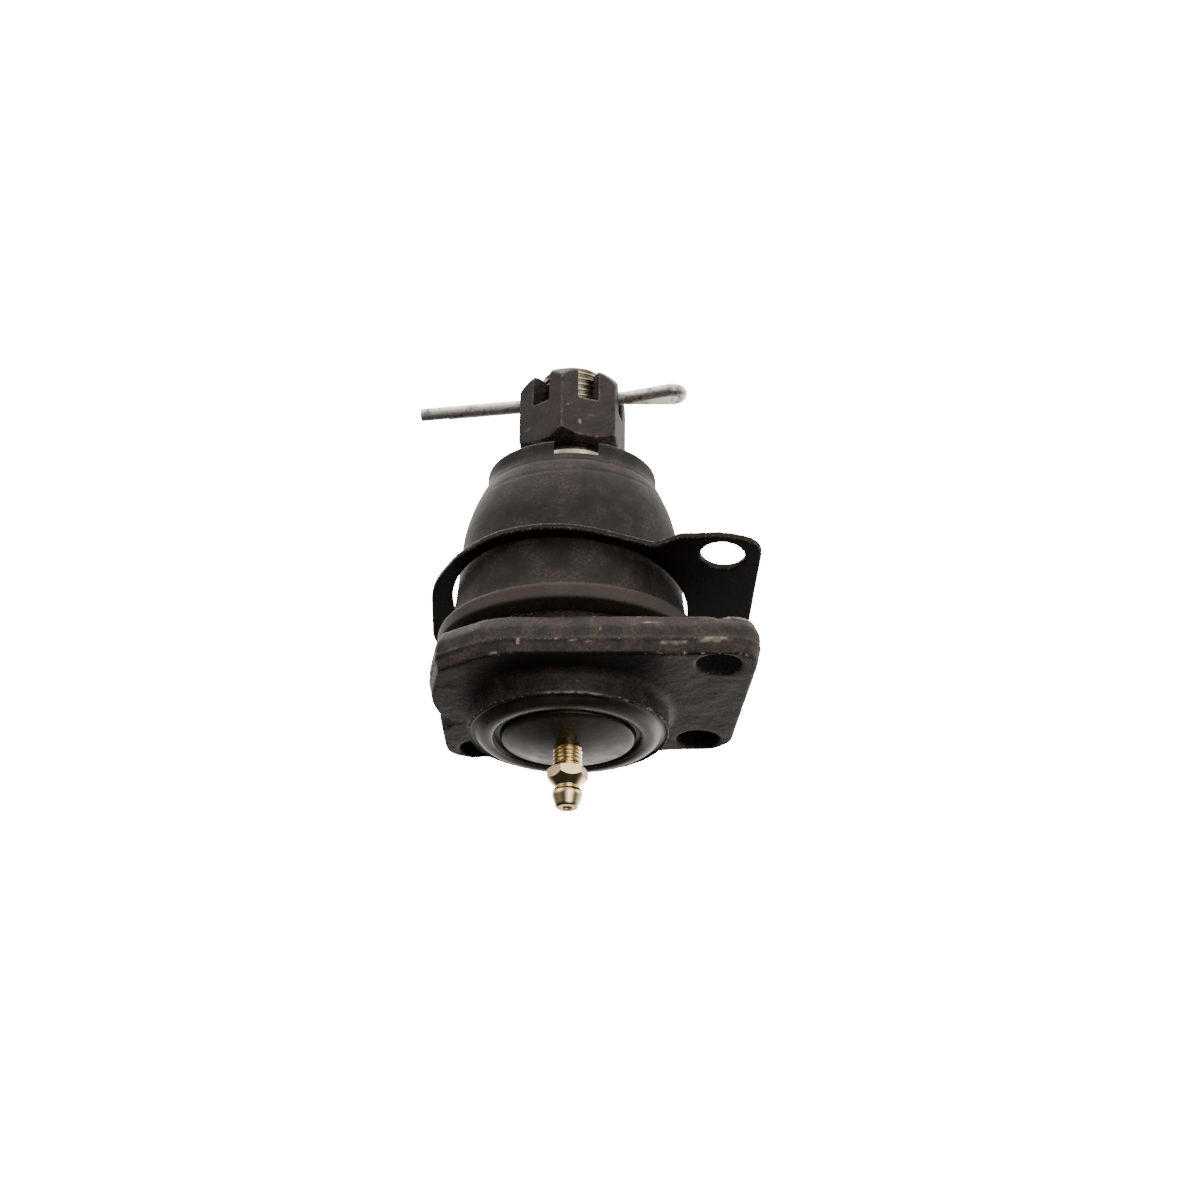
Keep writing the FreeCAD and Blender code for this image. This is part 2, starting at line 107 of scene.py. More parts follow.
def maths(tree, operation, first, second):
    """Two values worked into one, such as their product."""
    return add(tree, "Math", {0: first, 1: second}, operation=operation).outputs[0]


def mixed(tree, share, under, over):
    """Share of one colour over another; each is an sRGB hex value or a node's output."""
    under, over = (linear(tone) if isinstance(tone, str) else tone for tone in (under, over))
    return add(tree, "Mix", {0: share, 6: under, 7: over}, data_type="RGBA").outputs[2]


def bump(tree, height, strength, depth, **under):
    """Shading normal of a fine relief that deep."""
    return add(tree, "Bump", {"Height": height, "Strength": strength, "Distance": depth,
                              **under}).outputs[0]


def marked(tree, name):
    """The number that mark() kept at each point."""
    return add(tree, "Attribute", {}, attribute_name=name).outputs["Fac"]


def new_finish(name):
    """New material, with its node tree, its shader and the place on the part in metres."""
    material = bpy.data.materials.new(name)
    material.use_nodes = True
    tree = material.node_tree
    shader = tree.nodes["Principled BSDF"]
    return material, tree, shader, add(tree, "TexCoord", {}).outputs["Object"]


def lumps(points, size, seed):
    """Smooth random height from -1 to 1 at each point, in hills of about that size."""
    table = np.random.default_rng(seed).uniform(-1, 1, (32, 32, 32))
    cell = points / size
    low = np.floor(cell).astype(int)
    part = cell - low
    part = part * part * (3 - 2 * part)
    height = 0.0
    for corner in np.ndindex(2, 2, 2):
        share = np.prod(np.where(corner, part, 1 - part), axis=1)
        at = (low + corner) % 32
        height = height + share * table[at[:, 0], at[:, 1], at[:, 2]]
    return height


def relaxed(points, pairs, rounds, share):
    """Points drawn towards the mean of their neighbours, by share in each round."""
    ends = np.concatenate((pairs, pairs[:, ::-1]))
    degree = np.bincount(ends[:, 0], minlength=len(points))[:, None]
    for _ in range(rounds):
        mean = np.stack([np.bincount(ends[:, 0], points[ends[:, 1], k], len(points))
                         for k in range(3)], 1) / degree
        points = points + share * (mean - points)
    return points


def read_points(mesh, what):
    """The mesh's places ("co") or normals ("normal"), one row for each point."""
    out = np.empty(len(mesh.vertices) * 3)
    mesh.vertices.foreach_get(what, out)
    return out.reshape(-1, 3)


def mark(mesh, name, values):
    """Keeps a number at each point, which the material reads by its name."""
    layer = mesh.attributes.new(name, "FLOAT", "POINT")
    layer.data.foreach_set("value", values.astype(np.float32))


def placed(name, mesh):
    """New object in the scene."""
    piece = bpy.data.objects.new(name, mesh)
    bpy.context.scene.collection.objects.link(piece)
    return piece


def worked(node, name, cell, rounds, share_at=None, shape_at=None, welded=None):
    """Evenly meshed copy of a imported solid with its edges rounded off, as metal really is.

    Its "edge" attribute is positive on worn edges and negative in corners. A welded mesh
    becomes one with the solid."""
    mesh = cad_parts[node].data.copy()
    mesh.materials.clear()
    form = bmesh.new()
    form.from_mesh(mesh)
    if welded is not None:
        form.from_mesh(welded)
    bmesh.ops.remove_doubles(form, verts=form.verts, dist=0.002 * MM)
    form.to_mesh(mesh)
    form.free()
    piece = placed(name, mesh)
    even = piece.modifiers.new("Even", "REMESH")
    even.mode, even.voxel_size, even.use_smooth_shade = "VOXEL", cell, True
    view = piece.evaluated_get(bpy.context.evaluated_depsgraph_get())
    piece.data = bpy.data.meshes.new_from_object(view)
    piece.modifiers.clear()
    mesh = piece.data
    points = read_points(mesh, "co")
    pairs = np.empty(len(mesh.edges) * 2, np.int32)
    mesh.edges.foreach_get("vertices", pairs)
    pairs = pairs.reshape(-1, 2)
    share = 0.5 if share_at is None else share_at(points)[:, None]
    points = relaxed(points, pairs, rounds, share)
    mesh.vertices.foreach_set("co", points.ravel())
    mesh.update()
    if shape_at is not None:
        normals = read_points(mesh, "normal")
        points = points + normals * shape_at(points, normals)[:, None]
        mesh.vertices.foreach_set("co", points.ravel())
        mesh.update()
    proud = ((points - relaxed(points, pairs, 20, 0.5)) * read_points(mesh, "normal")).sum(1)
    mark(mesh, "edge", np.clip(proud / (0.5 * cell), -1, 1))
    mesh.shade_smooth()
    return piece


def turned_faces(points):
    """Part of the housing that is turned, drilled or rolled, and so keeps crisp edges."""
    radius = np.hypot(points[:, 0], points[:, 1])
    crisp = (radius < 18.4 * MM) | ((radius < RIDGE_R + 0.5 * MM) & (points[:, 2] > 4.9 * MM))
    for x, y in HOLES:
        away = np.hypot(points[:, 0] - x * MM, points[:, 1] - y * MM)
        crisp |= away < HOLE_R + 0.25 * MM
    return crisp


def forged_share(points):
    """Rounds forged edges fully, and machined ones only a little."""
    return np.where(turned_faces(points), 0.16, 0.5)


def forged_shape(points, normals):
    """Uneven die surface, a torn trim band and the flash that is left on the parting line."""
    forged = np.where(turned_faces(points), 0.0, 1.0)
    height = (0.13 * lumps(points, 7 * MM, 1) + 0.06 * lumps(points, 2.2 * MM, 2)
              + 0.03 * lumps(points, 0.9 * MM, 3))
    radius = np.hypot(points[:, 0], points[:, 1])
    side = np.clip((0.75 - np.abs(normals[:, 2])) / 0.3, 0, 1) * (radius > 24.6 * MM)
    z = points[:, 2]
    flash = np.exp(-((z - PARTING_Z) / (0.4 * MM)) ** 2) * (
        0.16 + 0.22 * np.clip(lumps(points, 2.6 * MM, 4), 0, 1))
    band = np.clip((PARTING_Z - z) / (0.3 * MM), 0, 1) * np.clip(
        (z - TRIM_LOW_Z) / (0.3 * MM), 0, 1)
    torn = band * 0.07 * lumps(points * (1, 1, 0.25), 0.7 * MM, 5)
    ragged = np.exp(-((radius - RIDGE_R) / (0.5 * MM)) ** 2) * (z > 4.9 * MM) * (
        0.05 + 0.22 * np.clip(lumps(points, 1.6 * MM, 6), -0.3, 1))
    # The ends of the boss make way for the rolled lip, a turned piece of its own.
    under_lip = (np.clip((RIDGE_R - 0.35 * MM - radius) / (0.3 * MM), 0, 1) * (z > 5.0 * MM))
    return (forged * (height + side * (flash + torn)) + ragged) * MM - under_lip * LIP_SINK


housing = worked("housing", "forged_housing", 0.33 * MM, 11, forged_share, forged_shape)
spots = read_points(housing.data, "co")
radius = np.hypot(spots[:, 0], spots[:, 1])
# Painted shade: black is painted on the strip of flange in front of the boss, on the near side
# only, and inside the bolt holes, where shade falls.
shade_share = (np.clip((radius - 23.0 * MM) / (1.3 * MM), 0, 1)
         * np.clip((1.3 * MM - spots[:, 2]) / (0.9 * MM), 0, 1) * (spots[:, 2] > -0.7 * MM)
         * np.clip((-spots[:, 1] - 18 * MM) / (5 * MM), 0, 1)
         * np.clip((19 * MM - np.abs(spots[:, 0])) / (6 * MM), 0, 1))
for x, y in HOLES:
    away = np.hypot(spots[:, 0] - x * MM, spots[:, 1] - y * MM)
    inside = (away < HOLE_R + 0.2 * MM) * np.clip(-spots[:, 2] / (1.0 * MM), 0, 1)
    shade_share = np.maximum(shade_share, inside)
mark(housing.data, "painted_shade", shade_share)
# Scrapes to bare steel on the near side: middle, reach along X and along Z in mm, strength.
SCRAPES = (((12.85, -28.4, -2.9), 0.3, 0.6, 1.0), ((18.0, -26.6, -0.7), 0.8, 0.22, 0.6),
           ((1.3, -29.7, -3.1), 0.9, 0.2, 0.55), ((-1.9, -30.0, -2.9), 0.6, 0.2, 0.5),
           ((-4.4, -30.3, -5.9), 0.25, 0.2, 0.7), ((-19.9, -31.8, -2.6), 2.8, 0.4, 0.75),
           ((-28.3, -33.0, -3.2), 3.2, 0.5, 0.75), ((-15.3, -31.1, -7.4), 1.8, 0.25, 0.6),
           ((-34.0, -32.0, -8.8), 3.2, 0.3, 0.6), ((0.6, -21.3, 5.45), 6.4, 0.3, 0.8),
           ((-11.0, -18.9, 5.6), 0.6, 0.3, 0.8), ((-0.4, -22.0, 2.8), 0.4, 0.22, 0.7))


def scraped(spots, scrapes):
    """How bare each point is, ragged along each scrape."""
    bare = np.zeros(len(spots))
    broken = np.clip(0.62 + 0.9 * lumps(spots, 0.7 * MM, 21), 0, 1)
    for (x, y, z), wide, high, strength in scrapes:
        away = (spots - np.array((x, y, z)) * MM) / np.array((wide, 1.6, high)) / MM
        bare = np.maximum(bare, strength * np.exp(-(away ** 4).sum(1)) * broken)
    return bare


mark(housing.data, "scrape", scraped(spots, SCRAPES))
forged, tree, shader, place = new_finish("phosphated_forging")
# Crystals of the phosphate coat differ in grey over 4.5 mm, and dust in grains of about
# 0.6 mm lies in patches on them; edges that rub in the shipping box are bare in flecks.
patch = noise(tree, place, 4.5 * MM, 5, 0.65)
grain = noise(tree, place, 0.6 * MM, 3, 0.6)
fleck = noise(tree, place, 0.9 * MM, 2, 0.7)
coat = mixed(tree, ramp(tree, patch, 0.35, 0.68), FORGED_DARK, FORGED_GREY)
dusty = maths(tree, "MULTIPLY", ramp(tree, grain, 0.4, 0.75),
              ramp(tree, patch, 0.4, 0.66, 0.15, 0.9))
rubbed = maths(tree, "MULTIPLY", ramp(tree, marked(tree, "edge"), 0.45, 1.0, 0.0, 0.85),
               ramp(tree, fleck, 0.58, 0.7))
bare = maths(tree, "MAXIMUM", rubbed, marked(tree, "scrape"))
worn = mixed(tree, bare, mixed(tree, dusty, coat, SHOP_DUST), BARE_STEEL)
# Painted shade: the coat goes to black and fully rough where the shade is marked.
painted_shade = marked(tree, "painted_shade")
tree.links.new(mixed(tree, painted_shade, worn, SHADE_BLACK), shader.inputs["Base Color"])
rough = ramp(tree, grain, low=0.48, high=0.74)
tree.links.new(add(tree, "Mix", {0: painted_shade, 2: rough, 3: 1.0}).outputs[0],
               shader.inputs["Roughness"])
shader.inputs["Specular IOR Level"].default_value = 0.4
fine = bump(tree, grain, 0.8, 0.13 * MM)
tree.links.new(bump(tree, patch, 0.6, 0.3 * MM, Normal=fine), shader.inputs["Normal"])
housing.data.materials.append(forged)
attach(housing, "housing_body")
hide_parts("housing")


def rounded(corners, closed=False, steps=4):
    """Outline in mm from (radius, z, how far from the corner its rounding starts)."""
    spots, count = [], len(corners)
    for i, (r, z, back) in enumerate(corners):
        here = np.array((r, z))
        if back == 0 or (not closed and i in (0, count - 1)):
            spots.append(here)
            continue
        to_last = np.array(corners[i - 1][:2]) - here
        to_next = np.array(corners[(i + 1) % count][:2]) - here
        near, far = np.linalg.norm(to_last), np.linalg.norm(to_next)
        back = min(back, 0.48 * near, 0.48 * far)
        for t in np.linspace(0, 1, steps + 1):
            spots.append(here + to_last / near * back * (1 - t) ** 2
                         + to_next / far * back * t ** 2)
    return spots


def spaced(outline, step, closed=False):
    """The same outline with points no further apart than step."""
    spots, count = [], len(outline)
    for i in range(count if closed else count - 1):
        a, b = np.array(outline[i]), np.array(outline[(i + 1) % count])
        parts = max(1, math.ceil(np.linalg.norm(b - a) / step))
        spots += [a + (b - a) * k / parts for k in range(parts)]
    return spots if closed else spots + [np.array(outline[-1])]


def around(angle, r, z):
    """Points, one in a row, from their angle, radius and height."""
    return np.stack((r * np.cos(angle), r * np.sin(angle), z), 2).reshape(-1, 3)


def turned(name, outline, sides, radius_at=None, closed=False, turn=0.0, crease=35):
    """Piece turned round Z from an outline in mm; radius_at may alter a ring's radii."""
    rings = np.array(outline, float)
    angle = np.tile(turn + np.arange(sides) * 2 * math.pi / sides, (len(rings), 1))
    r, z = np.tile(rings[:, :1], (1, sides)), np.tile(rings[:, 1:], (1, sides))
    if radius_at is not None:
        r = radius_at(angle, r, z)
    points = around(angle, r, z) * MM
    faces = []
    for i in range(len(rings) if closed else len(rings) - 1):
        a, b = i * sides, (i + 1) % len(rings) * sides
        faces += [(a + j, b + j, b + (j + 1) % sides, a + (j + 1) % sides) for j in range(sides)]
    mesh = bpy.data.meshes.new(name)
    mesh.from_pydata(points.tolist(), [], faces)
    form = bmesh.new()
    form.from_mesh(mesh)
    bmesh.ops.remove_doubles(form, verts=form.verts, dist=0.0004 * MM)
    bmesh.ops.recalc_face_normals(form, faces=form.faces)
    form.to_mesh(mesh)
    form.free()
    mesh.shade_smooth()
    mesh.set_sharp_from_angle(angle=math.radians(crease))
    return placed(name, mesh)


lip_section = [(21.75, 5.0, 0), (21.75, 5.3, 0.1), (20.9, 5.25, 0.3), (20.45, 5.6, 0.3),
               (19.9, 6.25, 0.4), (18.9, 6.95, 0.5), (17.7, 7.15, 0.6), (16.75, 7.0, 0.4),
               (16.2, 6.5, 0.3), (16.0, 5.95, 0.1), (16.0, 5.83, 0), (17.75, 5.83, 0),
               (17.75, 5.0, 0)]


def rolled_radius(angle, r, z):
    """The rolling tool leaves the lip very slightly out of round."""
    uneven = lumps(around(angle, r, z), 5, 7).reshape(r.shape)
    return r + 0.05 * uneven * (z > 5.9)


lip = turned("rolled_lip", spaced(rounded(lip_section, True), 0.25, True), 288, rolled_radius,
             True, crease=50)
rolled, tree, shader, place = new_finish("burnished_rolled_lip")
# The rolling tool burnishes the coat to a dull shine and leaves fine rings 0.4 mm apart.
apart = add(tree, "SeparateXYZ", {0: place})
across = add(tree, "VectorMath", {0: add(tree, "CombineXYZ", {
    "X": apart.outputs["X"], "Y": apart.outputs["Y"]}).outputs[0]}, operation="LENGTH")
outward = add(tree, "CombineXYZ", {"X": across.outputs["Value"]}).outputs[0]
rings = noise(tree, outward, 0.4 * MM, 2)
patch = noise(tree, place, 3.5 * MM, 5, 0.6)
tree.links.new(mixed(tree, ramp(tree, patch, 0.35, 0.68), ROLLED_DARK, ROLLED_GREY),
               shader.inputs["Base Color"])
tree.links.new(ramp(tree, patch, low=0.26, high=0.46), shader.inputs["Roughness"])
shader.inputs["Specular IOR Level"].default_value = 0.6
tree.links.new(bump(tree, rings, 0.3, 0.02 * MM), shader.inputs["Normal"])
lip.data.materials.append(rolled)
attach(lip, "housing_body")
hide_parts("housing")

# Cover plate. A shallow dome pressed from 2 mm sheet with a short upright step at its foot,
# phosphated, smooth and slightly oily, held down by the rolled lip.
PRESSED_DARK, PRESSED_BROWN, RIM_Z = "15110f", "2c241f", 5.8
cover_section = [(17.6, 3.8, 0.1), (17.6, RIM_Z, 0.1), (14.9, RIM_Z, 0.1), (14.75, 6.1, 0.1),
                 (14.55, 7.0, 0.25), (13.7, 7.4, 0.8), (10.5, 8.2, 2.5), (6.0, 9.1, 2),
                 (3.15, 9.4, 0), (3.15, 7.4, 0), (8.6, 6.3, 2), (13.4, 4.1, 2), (14.2, 3.8, 0.3)]
cover = turned("pressed_cover", spaced(rounded(cover_section, True), 0.5, True), 192,
               closed=True, crease=50)
pressed, tree, shader, place = new_finish("oiled_phosphated_pressing")
# The oil film pools in clouds of about 5 mm, and the press tool leaves faint 0.35 mm grain.
cloud = noise(tree, place, 5 * MM, 4, 0.6)
grain = noise(tree, place, 0.35 * MM, 2)
brown = mixed(tree, ramp(tree, cloud, 0.35, 0.7), PRESSED_DARK, PRESSED_BROWN)
# Painted shade: the dome is painted black in the gap between its foot and the lip, up to 0.9 mm
# above the rim.
above = ramp(tree, add(tree, "SeparateXYZ", {0: place}).outputs["Z"],
             (RIM_Z + 0.4) * MM, (RIM_Z + 0.9) * MM)
tree.links.new(mixed(tree, above, SHADE_BLACK, brown), shader.inputs["Base Color"])
tree.links.new(ramp(tree, cloud, 0.3, 0.7, 0.26, 0.5), shader.inputs["Roughness"])
fine = bump(tree, grain, 0.25, 0.02 * MM)
tree.links.new(bump(tree, cloud, 0.4, 0.12 * MM, Normal=fine), shader.inputs["Normal"])
cover.data.materials.append(pressed)
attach(cover, "housing_body")
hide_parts("cover_plate")

# Grease fitting. Free-cutting steel, turned from hexagon bar, with a rolled 1/4-28 thread,
# a grooved head and a ball check, plated in yellow-passivated zinc that shines in colours.
GOLD, GOLD_PINK, GOLD_GREEN = "fbe7b0", "f2cfae", "e9eaa6"
FITTING_PITCH, FITTING_CREST, FITTING_ROOT = 0.907, 3.17, 2.66
THREAD_LOW, THREAD_HIGH = 5.75, 13.75
FITTING_HEX_R, FITTING_TURN = 7.94 / math.sqrt(3), math.radians(-7)


def thread_depth(angle, z, pitch):
    """Share of a right-hand thread's height at each place, 0 in the root and 1 at the crest."""
    phase = (z / pitch - angle / (2 * math.pi)) % 1
    return np.clip(1.28 - 2.75 * np.abs(phase - 0.5), 0, 1)


def fitting_radius(angle, r, z):
    """Cuts the thread below the hexagon, run out over its first and last turn."""
    threaded = (z > THREAD_LOW) & (z < THREAD_HIGH) & (r > 2)
    fade = (np.clip((z - THREAD_LOW + 0.05) / 0.5, 0, 1)
            * np.clip((THREAD_HIGH + 0.05 - z) / 0.3, 0, 1))
    screw = FITTING_ROOT + (FITTING_CREST - FITTING_ROOT) * fade * thread_depth(
        angle, z, FITTING_PITCH)
    return np.where(threaded, screw, r)


def cut(piece, tool, mode="DIFFERENCE"):
    """Cuts the tool's shape out of the piece, or keeps what both share, and removes the tool."""
    step = piece.modifiers.new("Cut", "BOOLEAN")
    step.operation, step.solver, step.object = mode, "EXACT", tool
    bpy.context.view_layer.update()
    view = piece.evaluated_get(bpy.context.evaluated_depsgraph_get())
    piece.data = bpy.data.meshes.new_from_object(view)
    piece.modifiers.clear()
    bpy.data.objects.remove(tool)


shank = [(1.2, 5.2, 0.1), (2.45, 5.2, 0.15), (2.66, 5.5, 0.1), (2.66, 13.8, 0)]
head = [(2.62, 13.9, 0), (2.62, 15.9, 0), (3.7, 16.45, 0), (3.86, 16.7, 0), (2.55, 18.15, 0.2),
        (2.55, 18.35, 0.15), (3.1, 18.95, 0.3), (3.3, 19.5, 0.3), (3.3, 20.3, 0.25),
        (2.5, 22.7, 0.2), (2.2, 23.0, 0.15), (1.15, 23.0, 0.08), (1.02, 22.85, 0),
        (1.02, 22.15, 0), (1.65, 21.2, 0), (1.65, 8.5, 0), (1.2, 8.5, 0)]
outline = spaced(rounded(shank), 0.06) + spaced(rounded(head), 0.4)
fitting = turned("grease_fitting", outline, 180, fitting_radius, True, FITTING_TURN, 50)
bar_end = [(1.9, 14.1), (3.95, 14.1), (4.7, 14.5), (4.7, 15.75), (3.86, 16.7), (1.9, 16.7)]
hexagon = turned("fitting_hexagon", bar_end, 240, closed=True, crease=20)
flats = turned("hexagon_tool", [(0, 13), (FITTING_HEX_R, 13), (FITTING_HEX_R, 18), (0, 18)], 6,
               turn=FITTING_TURN)
cut(hexagon, flats, "INTERSECT")
hexagon.data.shade_smooth()
hexagon.data.set_sharp_from_angle(angle=math.radians(20))
plated, tree, shader, place = new_finish("yellow_passivated_zinc")
# The passivation film changes in thickness over 2 to 3 mm, so gold turns pink or green.
film = noise(tree, place, 2.6 * MM, 3)
speck = noise(tree, place, 0.4 * MM, 2)
warm = mixed(tree, ramp(tree, film, 0.45, 0.7), GOLD, GOLD_PINK)
tree.links.new(mixed(tree, ramp(tree, film, 0.45, 0.3), warm, GOLD_GREEN),
               shader.inputs["Base Color"])
tree.links.new(ramp(tree, speck, low=0.07, high=0.2), shader.inputs["Roughness"])
shader.inputs["Metallic"].default_value = 1.0
tree.links.new(bump(tree, speck, 0.2, 0.015 * MM), shader.inputs["Normal"])
for piece in (fitting, hexagon):
    piece.data.materials.clear()
    piece.data.materials.append(plated)
    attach(piece, "housing_body")
    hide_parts("grease_fitting_body")

# Check ball and its spring, inside the fitting. A ground bearing ball and a coil of 0.24 mm
# spring wire that shortens as the ball is pushed in.
WIRE_R, COIL_R, COIL_LOW, COIL_HIGH = 0.12, 1.15, 8.8, 19.7
COIL_TURNS, TURN_STEPS, WIRE_SIDES = 6, 40, 10
SPRING_DARK, SPRING_PALE, BALL_GREY, BALL_PALE = "55504a", "8f897f", "a8a49c", "c9c6bf"


def skinned(name, sections):
    """Mesh in metres over rows of points in mm, each row a section, closed at both ends."""
    count, sides = sections.shape[:2]
    faces = [(sides * i + j, sides * i + (j + 1) % sides,
              sides * (i + 1) + (j + 1) % sides, sides * (i + 1) + j)
             for i in range(count - 1) for j in range(sides)]
    faces += [tuple(range(sides - 1, -1, -1)), tuple(range(sides * (count - 1), sides * count))]
    mesh = bpy.data.meshes.new(name)
    mesh.from_pydata((sections.reshape(-1, 3) * MM).tolist(), [], faces)
    return mesh


def even_finish(name, size, detail, dark, pale, smooth, dull):
    """Finish that goes from dark and smooth to pale and dull in one noise of that size."""
    material, tree, shader, place = new_finish(name)
    cloud = noise(tree, place, size, detail)
    tree.links.new(mixed(tree, cloud, dark, pale), shader.inputs["Base Color"])
    tree.links.new(ramp(tree, cloud, low=smooth, high=dull), shader.inputs["Roughness"])
    return material, shader


turn = np.linspace(0, 2 * math.pi * COIL_TURNS, TURN_STEPS * COIL_TURNS + 1)
round_wire = np.arange(WIRE_SIDES) * 2 * math.pi / WIRE_SIDES
reach = COIL_R + WIRE_R * np.cos(round_wire)[None]
rise = np.linspace(COIL_LOW, COIL_HIGH, len(turn))[:, None] + WIRE_R * np.sin(round_wire)[None]
coil = np.stack((reach * np.cos(turn)[:, None], reach * np.sin(turn)[:, None], rise), 2)
spring = placed("check_spring", skinned("check_spring", coil))
spring.data.shade_smooth()
# Wire drawn through a die carries lengthwise streaks, here as coarse as 0.1 mm to show.
drawn, shader = even_finish("drawn_spring_steel", 0.1 * MM, 2, SPRING_DARK, SPRING_PALE,
                            0.25, 0.45)
shader.inputs["Metallic"].default_value = 1.0
spring.data.materials.append(drawn)
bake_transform(spring)
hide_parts("grease_fitting_spring")


def finish_node(node, material):
    """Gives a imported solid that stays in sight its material."""
    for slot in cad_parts[node].material_slots:
        slot.material = material


# Ground and lapped: nearly a mirror, with a faint haze of 0.2 mm grain.
ground, shader = even_finish("ground_bearing_steel", 0.2 * MM, 2, BALL_GREY, BALL_PALE,
                             0.08, 0.18)
shader.inputs["Metallic"].default_value = 1.0
finish_node("grease_fitting_ball", ground)

# Bearing rings. Iron powder pressed and sintered to size, soaked in oil; the lower ring and
# the cup hold the ball. A coned washer of spring steel over the cup loads them.
PORE_DARK, IRON_GREY, PORE = "2b2724", "6a655f", 0.25 * MM
sintered, tree, shader, place = new_finish("oil_soaked_sintered_iron")
# Open pores between the powder grains, drawn at 0.25 mm so that they show.
pores = add(tree, "TexVoronoi", {"Vector": place, "Scale": 1 / PORE}).outputs["Distance"]
pocked = ramp(tree, pores, 0.1, 0.45)
tree.links.new(mixed(tree, pocked, PORE_DARK, IRON_GREY), shader.inputs["Base Color"])
tree.links.new(ramp(tree, pocked, low=0.7, high=0.42), shader.inputs["Roughness"])
shader.inputs["Metallic"].default_value = 0.7
tree.links.new(bump(tree, pocked, 0.4, 0.05 * MM), shader.inputs["Normal"])
finish_node("bearing_seat_ring", sintered)
finish_node("pressure_seat", sintered)
finish_node("preload_disc_spring", drawn)

# Seal ring. Nitrile rubber, moulded round, squeezed under the cover plate's rim; the mould's
# joint leaves a fine flash line round its outside and its inside.
SEAL_R, SEAL_Z, SEAL_WIRE, SEAL_FLASH, SEAL_SIDES = 16.65, 2.8, 0.97, 0.02, 32
NITRILE_BLACK, NITRILE_BLOOM = "0f0e0e", "1f1d1c"
ring = []
for k in range(SEAL_SIDES):
    a = k * 2 * math.pi / SEAL_SIDES
    flash = SEAL_FLASH if k in (0, SEAL_SIDES // 2) else 0
    ring.append((SEAL_R + (SEAL_WIRE + flash) * math.cos(a), SEAL_Z + SEAL_WIRE * math.sin(a)))
seal = turned("cover_seal", ring, 128, closed=True)
# Wax blooms out of the rubber in clouds of about 1.5 mm.
nitrile, shader = even_finish("moulded_nitrile_rubber", 1.5 * MM, 3, NITRILE_BLACK,
                              NITRILE_BLOOM, 0.5, 0.65)
seal.data.materials.append(nitrile)
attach(seal, "housing_body")
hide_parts("cover_seal_ring")

# Ball stud. Alloy steel, cold headed and turned, the ball and taper ground, a 9/16-18 thread
# rolled on its end and a cross hole drilled for the cotter pin.
BALL_R, BALL_Z, BALL_TOP, BALL_END = 15, -14, 0.4, 2.654  # its ends in radians from +Z
STUD_PITCH, STUD_CREST, STUD_ROOT, SHANK_R = 1.411, 7.08, 6.22, 7.05
THREAD_TOP, THREAD_END, CHAMFER_Z = -64.2, -82.9, -82.4
PIN_Z, PIN_HOLE_R, PIN_TURN, DRILL_HALF = -77.55, 1.6, math.radians(15.5), 12
STUD_PALE, STUD_OILY = "c4bbae", "93897d"


def stud_radius(angle, r, z):
    """Cuts the thread and leaves the chamfer at its end."""
    threaded = (z < THREAD_TOP) & (z > THREAD_END - 0.4)
    fade = np.clip((THREAD_TOP - z) / 0.6, 0, 1)
    screw = STUD_ROOT + (STUD_CREST - STUD_ROOT) * fade * thread_depth(angle, z, STUD_PITCH)
    return np.where(threaded, np.minimum(screw, np.where(z < CHAMFER_Z, r, np.inf)), r)


ball = [(BALL_R * math.sin(a), BALL_Z + BALL_R * math.cos(a))
        for a in np.linspace(BALL_TOP, BALL_END, 64)]
bar = rounded([
    (7.05, -27.35, 0), (7.0, -29.5, 1.5), (7.6, -33.6, 2), (9.2, -37.0, 0.3), (7.64, -62.0, 0.15),
    (7.5, -62.35, 0.1), (SHANK_R, -62.8, 0.1), (SHANK_R, THREAD_TOP, 0), (SHANK_R, -82.3, 0),
    (6.7, -83.0, 0.3), (5.3, -83.6, 0.8), (2.7, -83.9, 0.5), (0.0, -84.0, 0)])
top = spaced([(0.0, -0.2), (5.4, -0.2), (5.65, -0.14), ball[0]], 0.8)[:-1]
thread_start = next(i for i, p in enumerate(bar) if p[1] < THREAD_TOP + 0.001)
outline = (list(top) + ball + spaced(bar[:thread_start + 1], 0.6)[:-1]
           + spaced(bar[thread_start:], 0.1))
stud = turned("ball_stud_bar", outline, 144, stud_radius, crease=50)
drill = turned("cross_drill", [(0, -DRILL_HALF), (PIN_HOLE_R, -DRILL_HALF),
                               (PIN_HOLE_R, DRILL_HALF), (0, DRILL_HALF)], 40)
drill.matrix_world = (Matrix.Translation((0, 0, PIN_Z * MM)) @ Matrix.Rotation(PIN_TURN, 4, "Z")
                      @ Matrix.Rotation(math.pi / 2, 4, "Y"))
cut(stud, drill)
steel, tree, shader, place = new_finish("turned_bright_steel")
# Turning leaves rings about 0.25 mm apart round the axis; oil darkens it in patches.
upright = add(tree, "CombineXYZ", {"Z": add(tree, "SeparateXYZ", {0: place}).outputs["Z"]})
rings = noise(tree, upright.outputs[0], 0.25 * MM, 2)
film = noise(tree, place, 3 * MM, 3)
tree.links.new(mixed(tree, ramp(tree, film, 0.4, 0.65), STUD_PALE, STUD_OILY),
               shader.inputs["Base Color"])
tree.links.new(ramp(tree, rings, low=0.18, high=0.38), shader.inputs["Roughness"])
shader.inputs["Metallic"].default_value = 1.0
tree.links.new(bump(tree, rings, 0.15, 0.02 * MM), shader.inputs["Normal"])
stud.data.materials.clear()
stud.data.materials.append(steel)
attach(stud, "stud_body")
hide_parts("ball_stud")

# Castle nut. Hot forged, six slots milled, blackened in hot salts; corners and slot edges
# are rubbed grey where a socket and other parts touch them.
NUT_BLACK, NUT_GREY, NUT_RUST, NUT_WORN = "0b0908", "2b231f", "4a3d35", "9a9188"
CROWN_Z = -76.0


def crown_share(points):
    """Rounds the ends of the lugs, tumbled after milling, more than the hexagon's edges."""
    return np.where(points[:, 2] < CROWN_Z * MM, 0.5, 0.17)


